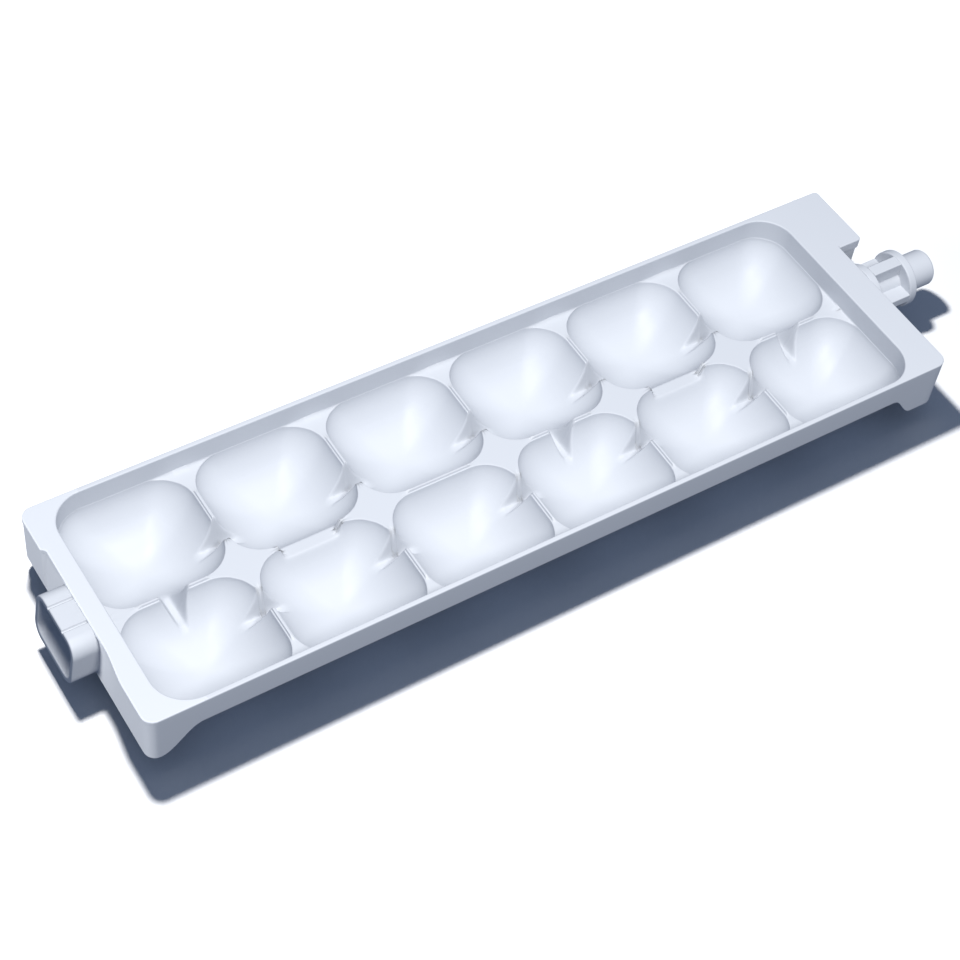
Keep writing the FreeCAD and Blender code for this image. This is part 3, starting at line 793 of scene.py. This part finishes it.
def build_lug(p):
    """The hollow stop block: a top plate that overhangs its walls a little, open underneath."""
    low, high = (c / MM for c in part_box("stop_lug"))
    x0, x1, y0, y1 = p.x_pivot, high.x, low.y, high.y
    bm = bmesh.new()
    size = Matrix.Diagonal(((x1 - x0) * MM, (y1 - y0) * MM, LUG_PLATE * MM, 1.0))
    place = Matrix.Translation(((x0 + x1) / 2 * MM, (y0 + y1) / 2 * MM, (p.z_top - LUG_PLATE / 2) * MM))
    bmesh.ops.create_cube(bm, size=1.0, matrix=place @ size)
    under = min(bm.faces, key=lambda f: f.calc_center_median().z)
    skirt = bmesh.ops.extrude_discrete_faces(bm, faces=[under])["faces"][0]
    for v in skirt.verts:
        if v.co.x > (x0 + x1) / 2 * MM:
            v.co.x -= LUG_OVERHANG * MM
        if v.co.y < (y0 + y1) / 2 * MM:
            v.co.y += LUG_OVERHANG * MM
    foot = bmesh.ops.extrude_discrete_faces(bm, faces=[skirt])["faces"][0]
    for v in foot.verts:
        v.co.z = p.z_leg * MM
    bmesh.ops.inset_region(bm, faces=[foot], thickness=LUG_WALL * MM, use_even_offset=True)
    for v in foot.verts:
        if v.co.x < (x0 + 3) * MM:
            v.co.x = (x0 + 0.3) * MM
    roof = bmesh.ops.extrude_discrete_faces(bm, faces=[foot])["faces"][0]
    for v in roof.verts:
        v.co.z = (p.z_top - LUG_WALL) * MM

    def all_at(edge, test):
        return all(test(v.co) for v in edge.verts)

    upright = [e for e in bm.edges if all_at(e, lambda co: co.x > (x1 - 0.01) * MM)
               and abs(e.verts[0].co.z - e.verts[1].co.z) > 1 * MM]
    round_edges(bm, upright, LUG_CORNER, 6)
    z_high, z_plate, x_joint = (p.z_top - 0.01) * MM, (p.z_top - LUG_PLATE) * MM, (x0 + 0.01) * MM
    free = [e for e in bm.edges if not all_at(e, lambda co: co.x < x_joint)]
    rim = [e for e in free if all_at(e, lambda co: co.z > z_high)]
    rim += [e for e in free if all_at(e, lambda co: abs(co.z - z_plate) < 1e-6)
            and len(e.link_faces) == 2 and e.calc_face_angle(0) > 1 and e.is_convex]
    round_edges(bm, rim, p.rim_edge, 3)
    bmesh.ops.recalc_face_normals(bm, faces=bm.faces)
    return smooth_flats(object_from(bm, "stop_lug_block"))


# ---------------------------------------------------------------- material


def add_node(tree, kind, place, inputs=(), **values):
    node = tree.nodes.new(kind)
    node.location = place
    for key, value in values.items():
        setattr(node, key, value)
    for key, value in dict(inputs).items():
        node.inputs[key].default_value = value
    return node


def moulded_plastic(looks):
    """White satin plastic: faint clouds of colour, a fine spark-eroded grain, slow changes of gloss."""
    made = bpy.data.materials.get("tray_white_satin")
    if made:
        return made
    made = bpy.data.materials.new("tray_white_satin")
    made.use_nodes = True
    tree = made.node_tree
    shader = tree.nodes["Principled BSDF"]
    shader.inputs["IOR"].default_value = 1.49
    shader.inputs["Specular IOR Level"].default_value = 0.45
    where = add_node(tree, "ShaderNodeTexCoord", (-1300, 0))
    cloud = add_node(tree, "ShaderNodeTexNoise", (-1000, 250),
                     {"Scale": 38.0, "Detail": 4.0, "Roughness": 0.6})
    tint = add_node(tree, "ShaderNodeMix", (-600, 250),
                    {"A": (*looks.plastic, 1.0), "B": (*looks.plastic_deep, 1.0)}, data_type="RGBA")
    gloss = add_node(tree, "ShaderNodeMapRange", (-600, 0),
                     {"From Min": 0.3, "From Max": 0.7, "To Min": 0.40, "To Max": 0.50})
    grain = add_node(tree, "ShaderNodeTexNoise", (-1000, -250), {"Scale": 2600.0, "Detail": 2.0})
    flow = add_node(tree, "ShaderNodeTexNoise", (-1000, -500), {"Scale": 90.0, "Detail": 1.0})
    fine = add_node(tree, "ShaderNodeBump", (-300, -250), {"Strength": 0.10, "Distance": 0.00003})
    wide = add_node(tree, "ShaderNodeBump", (-600, -500), {"Strength": 0.25, "Distance": 0.0001})
    link = tree.links.new
    for texture in (cloud, grain, flow):
        link(where.outputs["Object"], texture.inputs["Vector"])
    link(cloud.outputs["Fac"], tint.inputs["Factor"])
    link(tint.outputs["Result"], shader.inputs["Base Color"])
    link(cloud.outputs["Fac"], gloss.inputs["Value"])
    link(gloss.outputs["Result"], shader.inputs["Roughness"])
    link(flow.outputs["Fac"], wide.inputs["Height"])
    link(wide.outputs["Normal"], fine.inputs["Normal"])
    link(grain.outputs["Fac"], fine.inputs["Height"])
    link(fine.outputs["Normal"], shader.inputs["Normal"])
    return made


def matt_floor(looks):
    """A matt floor of one pale colour that glows a little away from the tray."""
    made = bpy.data.materials.new("floor_matt")
    made.use_nodes = True
    tree = made.node_tree
    shader = tree.nodes["Principled BSDF"]
    shader.inputs["Roughness"].default_value = 0.9
    shader.inputs["Specular IOR Level"].default_value = 0.1
    shader.inputs["Emission Color"].default_value = (0.97, 0.98, 1.0, 1.0)
    lighter = [min(1.0, c * 1.01) for c in looks.floor]
    where = add_node(tree, "ShaderNodeTexCoord", (-800, 0))
    noise = add_node(tree, "ShaderNodeTexNoise", (-600, 0), {"Scale": 3.0})
    tint = add_node(tree, "ShaderNodeMix", (-300, 0),
                    {"A": (*looks.floor, 1.0), "B": (*lighter, 1.0)}, data_type="RGBA")
    place = add_node(tree, "ShaderNodeMapping", (-600, -300),
                     {"Location": (-0.053, 0.008, 0.0), "Scale": (0.38, 1.0, 0.0)})
    away = add_node(tree, "ShaderNodeVectorMath", (-400, -300), operation="LENGTH")
    glow = add_node(tree, "ShaderNodeMapRange", (-200, -300),
                    {"From Min": 0.066, "From Max": 0.12, "To Max": looks.floor_glow},
                    interpolation_type="SMOOTHSTEP")
    link = tree.links.new
    link(where.outputs["Object"], noise.inputs["Vector"])
    link(noise.outputs["Fac"], tint.inputs["Factor"])
    link(tint.outputs["Result"], shader.inputs["Base Color"])
    link(where.outputs["Object"], place.inputs["Vector"])
    link(place.outputs["Vector"], away.inputs[0])
    link(away.outputs["Value"], glow.inputs["Value"])
    link(glow.outputs["Result"], shader.inputs["Emission Strength"])
    return made


def dress(obj, looks):
    obj.data.materials.clear()
    obj.data.materials.append(moulded_plastic(looks))


def settings(context):
    scene = context.scene
    return Places(scene.ice_tray_sizes), scene.ice_tray_looks


def put_across(obj, p, looks, k, *nodes):
    """A piece that spans two bays and stands for these nodes, baked in place without following either bay.
    """
    dress(obj, looks)
    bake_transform(obj)
    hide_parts(*nodes)


def put_on(obj, looks, body, *nodes):
    """A piece that rides on one bay and stands for these nodes."""
    dress(obj, looks)
    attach(obj, body)
    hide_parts(*nodes)


# ---------------------------------------------------------------- stage


def lay_floor(p, looks):
    """A plain floor just under the cups, which stays under the drive end's legs as the tray twists."""
    height = (p.z_deck - p.bowl_depth - p.wall - FLOOR_GAP) * MM
    bm = bmesh.new()
    bmesh.ops.create_grid(bm, x_segments=4, y_segments=4, size=4.0,
                          matrix=Matrix.Translation((TRAY_MIDDLE[0] * MM, 0.0, height)))
    floor = object_from(bm, "floor")
    floor.data.materials.append(matt_floor(looks))
    for name, y in (("foot_front", p.y_front), ("foot_rear", p.y_rear)):
        foot = bpy.data.objects.new(name, None)
        foot.location = Vector((p.x_drive, y, p.z_leg)) * MM
        bpy.context.scene.collection.objects.link(foot)
        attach(foot, "bay_1")
        under = floor.constraints.new("FLOOR")
        under.name = "Stays under " + name
        under.target = foot
        under.floor_location = "FLOOR_NEGATIVE_Z"
        under.offset = -height
    return floor


def lit_group(name, objects):
    group = bpy.data.collections.new(name)
    for obj in objects:
        group.objects.link(obj)
    return group


def add_lamp(scene, name, place, size, power, lit, bounces):
    """A round lamp that aims at the tray and lights one group of objects."""
    light = bpy.data.lights.new(name, "AREA")
    light.shape = "DISK"
    light.size = size
    light.energy = power
    light.cycles.max_bounces = bounces
    obj = bpy.data.objects.new(name, light)
    obj.location = Vector(place) * MM
    aim = Vector(TRAY_MIDDLE) * MM - obj.location
    obj.rotation_euler = aim.to_track_quat("-Z", "Y").to_euler()
    obj.light_linking.receiver_collection = lit
    scene.collection.objects.link(obj)


def set_camera(scene):
    """The camera at the photograph's viewing angle, rolled a little as it was."""
    lens = bpy.data.cameras.new("camera")
    lens.sensor_width = 36.0
    lens.lens = CAMERA_LENS
    lens.clip_start = 0.01
    look, level = Vector(CAMERA_LOOK).normalized(), Vector(CAMERA_LEVEL).normalized()
    roll = math.radians(CAMERA_ROLL)
    right = level * math.cos(roll) + level.cross(look) * math.sin(roll)
    place = Matrix((right, right.cross(look), -look)).transposed().to_4x4()
    place.translation = Vector(CAMERA_PLACE)
    camera = bpy.data.objects.new("camera", lens)
    camera.matrix_world = place
    scene.collection.objects.link(camera)
    scene.camera = camera


# ---------------------------------------------------------------- operators


class ICETRAY_OT_basin(bpy.types.Operator):
    """Build the twelve cups with their deck, water ways and lips, in five spans"""

    bl_idname = "ice_tray.basin"
    bl_label = "Basin of cups"

    def execute(self, context):
        p, looks = settings(context)
        for k, obj in enumerate(build_basin(p)):
            cups = ["cup_%s_%d" % (row, n) for row in ("front", "rear") for n in (k + 1, k + 2)]
            put_across(obj, p, looks, k, *cups)
        return {"FINISHED"}


class ICETRAY_OT_rails(bpy.types.Operator):
    """Build the long side walls of the rim"""

    bl_idname = "ice_tray.rails"
    bl_label = "Side rails"

    def execute(self, context):
        p, looks = settings(context)
        for obj, k, rear in build_rails(p):
            row = "rear" if rear else "front"
            put_across(obj, p, looks, k, "rim_%s_%d" % (row, k + 1), "rim_%s_%d" % (row, k + 2))
        return {"FINISHED"}


class ICETRAY_OT_ends(bpy.types.Operator):
    """Build the two ends of the rim with their lands, deep walls and corner legs"""

    bl_idname = "ice_tray.ends"
    bl_label = "Rim ends"

    def execute(self, context):
        p, looks = settings(context)
        for drive, end, body in ((True, "drive", "bay_1"), (False, "pivot", "bay_6")):
            corners = ["corner_%s_%s" % (end, row) for row in ("front", "rear")]
            put_on(build_end(p, drive), looks, body, "land_" + end, "end_wall_" + end, *corners)
        return {"FINISHED"}


class ICETRAY_OT_socket(bpy.types.Operator):
    """Build the drive socket"""

    bl_idname = "ice_tray.socket"
    bl_label = "Drive socket"

    def execute(self, context):
        p, looks = settings(context)
        put_on(build_socket(p), looks, "bay_1", "drive_socket")
        return {"FINISHED"}


class ICETRAY_OT_pivot(bpy.types.Operator):
    """Build the pivot: base disc, ribbed hub, collar and pin"""

    bl_idname = "ice_tray.pivot"
    bl_label = "Pivot"

    def execute(self, context):
        _, looks = settings(context)
        for obj, node in ((build_disc("pivot_base", "pivot_disc", DISC_EDGE), "pivot_disc"),
                          (build_hub(), "pivot_hub"),
                          (build_disc("pivot_flange", "pivot_collar", COLLAR_EDGE), "pivot_collar"),
                          (build_pin(), "pivot_pin")):
            put_on(obj, looks, "bay_6", node)
        return {"FINISHED"}


class ICETRAY_OT_lug(bpy.types.Operator):
    """Build the stop lug beside the pivot"""

    bl_idname = "ice_tray.lug"
    bl_label = "Stop lug"

    def execute(self, context):
        p, looks = settings(context)
        put_on(build_lug(p), looks, "bay_6", "stop_lug")
        return {"FINISHED"}


class ICETRAY_OT_stage(bpy.types.Operator):
    """Lay the pale floor and set the lights and the camera"""

    bl_idname = "ice_tray.stage"
    bl_label = "Floor, lights and camera"

    def execute(self, context):
        p, looks = settings(context)
        scene = context.scene
        scene.view_settings.view_transform = "Standard"
        floor = lay_floor(p, looks)

        world = bpy.data.worlds.new("soft_fill")
        world.use_nodes = True
        back = world.node_tree.nodes["Background"]
        back.inputs["Color"].default_value = (*looks.sky, 1.0)
        back.inputs["Strength"].default_value = looks.sky_strength
        scene.world = world

        shown = [obj for obj in scene.collection.objects if obj.type == "MESH" and obj is not floor]
        pieces, ground = lit_group("tray_pieces", shown), lit_group("ground", [floor])
        drive_end = lit_group("drive_end", [bpy.data.objects["end_drive"]])
        floor.light_linking.receiver_collection = ground
        for name, place, size, power, lit, bounces in (
                ("shadow_lamp", (66, 150, 480), looks.key_size, looks.key_power, ground, 0),
                ("soft_lamp", (40, 20, 690), looks.soft_size, looks.soft_power, pieces, 1),
                ("front_lamp", (70, -450, 700), looks.soft_size, looks.front_power, pieces, 1),
                ("wall_lamp", (-800, 90, 150), looks.soft_size, looks.wall_power, drive_end, 0)):
            add_lamp(scene, name, place, size, power, lit, bounces)
        set_camera(scene)
        return {"FINISHED"}


STEPS = (ICETRAY_OT_basin, ICETRAY_OT_rails, ICETRAY_OT_ends, ICETRAY_OT_socket, ICETRAY_OT_pivot,
         ICETRAY_OT_lug, ICETRAY_OT_stage)


class ICETRAY_PT_panel(bpy.types.Panel):
    """Builds the ice tray step by step"""

    bl_idname = "ICETRAY_PT_panel"
    bl_label = "Ice Tray"
    bl_space_type = "VIEW_3D"
    bl_region_type = "UI"
    bl_category = "Ice Tray"

    def draw(self, context):
        layout = self.layout
        for step in STEPS:
            layout.operator(step.bl_idname)
        for group in (context.scene.ice_tray_sizes, context.scene.ice_tray_looks):
            box = layout.box()
            for name in group.__annotations__:
                box.prop(group, name)


CLASSES = (IceTraySizes, IceTrayLooks, *STEPS, ICETRAY_PT_panel)


def register():
    for cls in CLASSES:
        bpy.utils.register_class(cls)
    bpy.types.Scene.ice_tray_sizes = bpy.props.PointerProperty(type=IceTraySizes)
    bpy.types.Scene.ice_tray_looks = bpy.props.PointerProperty(type=IceTrayLooks)


def unregister():
    del bpy.types.Scene.ice_tray_looks
    del bpy.types.Scene.ice_tray_sizes
    for cls in reversed(CLASSES):
        bpy.utils.unregister_class(cls)


def main():
    register()
    for step in STEPS:
        group, name = step.bl_idname.split(".")
        getattr(getattr(bpy.ops, group), name)()


if __name__ == "__main__":
    main()
